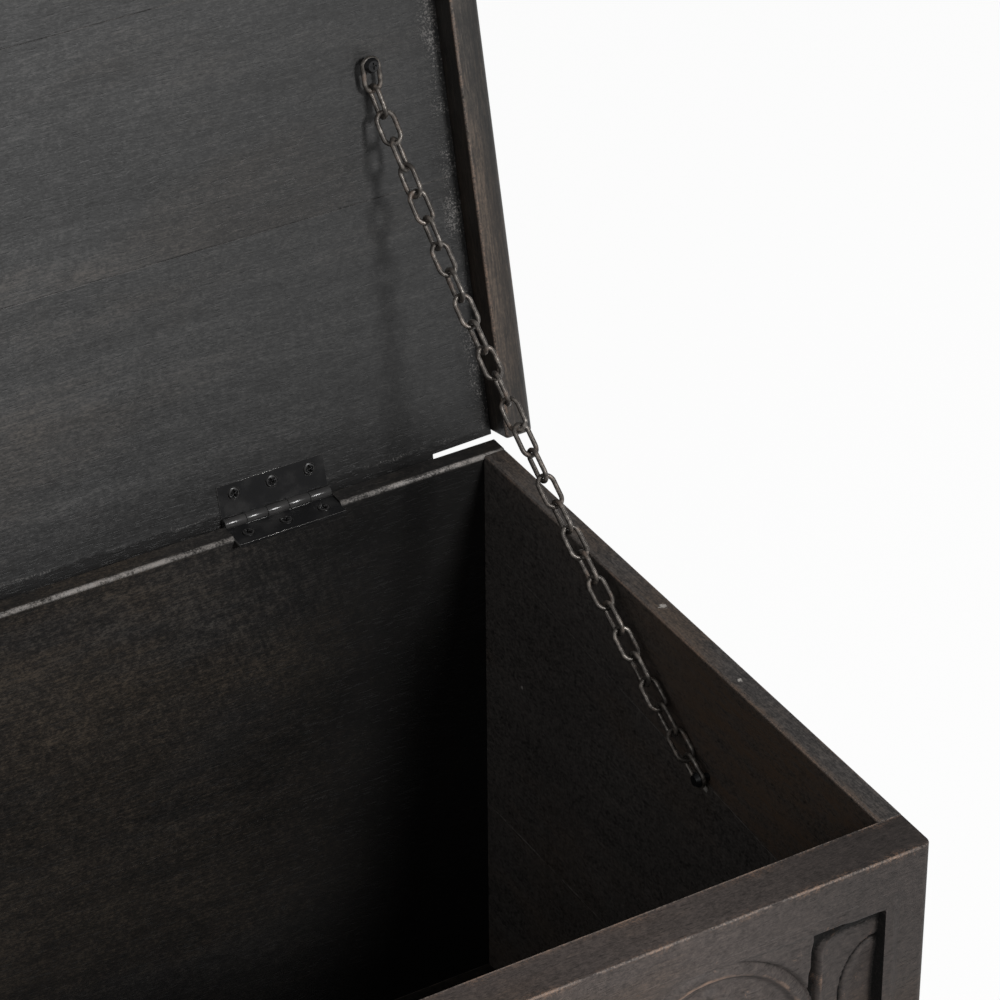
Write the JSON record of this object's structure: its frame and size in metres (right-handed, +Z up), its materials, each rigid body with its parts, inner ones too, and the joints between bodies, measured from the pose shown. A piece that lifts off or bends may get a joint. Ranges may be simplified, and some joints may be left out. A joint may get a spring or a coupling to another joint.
{
  "type": "carved wooden chest",
  "caption": "Long dark wooden chest with a carved front of ring medallions and arched niches, a rimmed hinged lid, butt hinges and stay chains that hold the lid open.",
  "frame": {"origin": "on the ground under the middle of the carcass, on the underside of the middle floor bearer", "axes": "+X along the chest to its right end, +Y from the carved front to the back, +Z up"},
  "size_m": [0.8512, 0.5407, 0.8172],
  "materials": {
    "carved_wood": "dark stain, worn to copper brown on the arrises",
    "dark_wood": "near-black stain with brown undertones",
    "lid_wood": "charcoal stain, softly worn",
    "bare_wood": "bare hardwood",
    "hinge_iron": "black lacquer, rubbed bright on the barrel",
    "screw_iron": "blackened, bright on the rims",
    "chain_iron": "aged dark iron with rust tints"
  },
  "bodies": {
    "chest": {"front_board": "carved_wood", "back_lower_plank": "dark_wood", "back_upper_plank": "dark_wood", "right_side_lower_plank": "dark_wood", "right_side_middle_plank": "dark_wood", "right_side_upper_plank": "dark_wood", "left_side_lower_plank": "dark_wood", "left_side_middle_plank": "dark_wood", "left_side_upper_plank": "dark_wood", "front_corner_dowels": "bare_wood", "back_corner_dowels": "bare_wood", "floor_front_plank": "dark_wood", "floor_middle_plank": "dark_wood", "floor_back_plank": "dark_wood", "floor_front_left_cleat": "dark_wood", "floor_front_right_cleat": "dark_wood", "floor_back_left_cleat": "dark_wood", "floor_back_right_cleat": "dark_wood", "floor_bearer": "dark_wood", "plinth_front": "dark_wood", "plinth_back": "dark_wood", "plinth_left": "dark_wood", "plinth_right": "dark_wood", "foot_blocks": "dark_wood", "right_hinge_wall_leaf": "hinge_iron", "right_hinge_pin": "hinge_iron", "right_hinge_wall_screws": "screw_iron", "right_chain_wall_screw": "screw_iron", "left_hinge_wall_leaf": "hinge_iron", "left_hinge_pin": "hinge_iron", "left_hinge_wall_screws": "screw_iron", "left_chain_wall_screw": "screw_iron"},
    "lid": {"lid_back_plank": "lid_wood", "lid_middle_plank": "lid_wood", "lid_front_plank": "lid_wood", "lid_front_rim": "lid_wood", "lid_right_rim": "lid_wood", "lid_left_rim": "lid_wood", "right_hinge_lid_leaf": "hinge_iron", "right_hinge_lid_screws": "screw_iron", "right_chain_lid_screw": "screw_iron", "right_chain_lid_link": "chain_iron", "left_hinge_lid_leaf": "hinge_iron", "left_hinge_lid_screws": "screw_iron", "left_chain_lid_screw": "screw_iron", "left_chain_lid_link": "chain_iron"},
    "right_chain_upper": {"right_chain_upper": "chain_iron"},
    "right_chain_lower": {"right_chain_lower": "chain_iron"},
    "right_chain_bend": {"right_chain_bend": "chain_iron"},
    "left_chain_upper": {"left_chain_upper": "chain_iron"},
    "left_chain_lower": {"left_chain_lower": "chain_iron"},
    "left_chain_bend": {"left_chain_bend": "chain_iron"}
  },
  "joints": [
    {"name": "lid_hinge", "type": "hinge", "parent": "chest", "child": "lid", "pos_m": [0, 0.2056, 0.3976], "axis": [1, 0, 0], "range_deg": [0, 103]},
    {"name": "right_chain_upper_swing", "type": "hinge", "parent": "lid", "child": "right_chain_upper", "pos_m": [0.364, 0.24959, 0.60194], "axis": [1, 0, 0], "range_deg": [0, 2.07]},
    {"name": "right_chain_lower_swing", "type": "hinge", "parent": "chest", "child": "right_chain_lower", "pos_m": [0.39, -0.0315, 0.328], "axis": [1, 0, 0], "range_deg": [-55.27, 0]},
    {"name": "right_chain_bend_swing", "type": "hinge", "parent": "right_chain_lower", "child": "right_chain_bend", "pos_m": [0.37677, 0.11151, 0.44928], "axis": [1, 0, 0], "range_deg": [0, 110.7]},
    {"name": "left_chain_upper_swing", "type": "hinge", "parent": "lid", "child": "left_chain_upper", "pos_m": [-0.364, 0.24959, 0.60194], "axis": [1, 0, 0], "range_deg": [0, 2.07]},
    {"name": "left_chain_lower_swing", "type": "hinge", "parent": "chest", "child": "left_chain_lower", "pos_m": [-0.39, -0.0315, 0.328], "axis": [1, 0, 0], "range_deg": [-55.27, 0]},
    {"name": "left_chain_bend_swing", "type": "hinge", "parent": "left_chain_lower", "child": "left_chain_bend", "pos_m": [-0.37677, 0.11151, 0.44928], "axis": [1, 0, 0], "range_deg": [0, 110.7]}
  ],
  "couplings": [
    {"joint": "right_chain_upper_swing", "follows": "lid_hinge", "ratio": 0.02},
    {"joint": "right_chain_lower_swing", "follows": "lid_hinge", "ratio": -0.53648},
    {"joint": "right_chain_bend_swing", "follows": "lid_hinge", "ratio": 1.0747},
    {"joint": "left_chain_upper_swing", "follows": "lid_hinge", "ratio": 0.02},
    {"joint": "left_chain_lower_swing", "follows": "lid_hinge", "ratio": -0.53648},
    {"joint": "left_chain_bend_swing", "follows": "lid_hinge", "ratio": 1.0747}
  ]
}
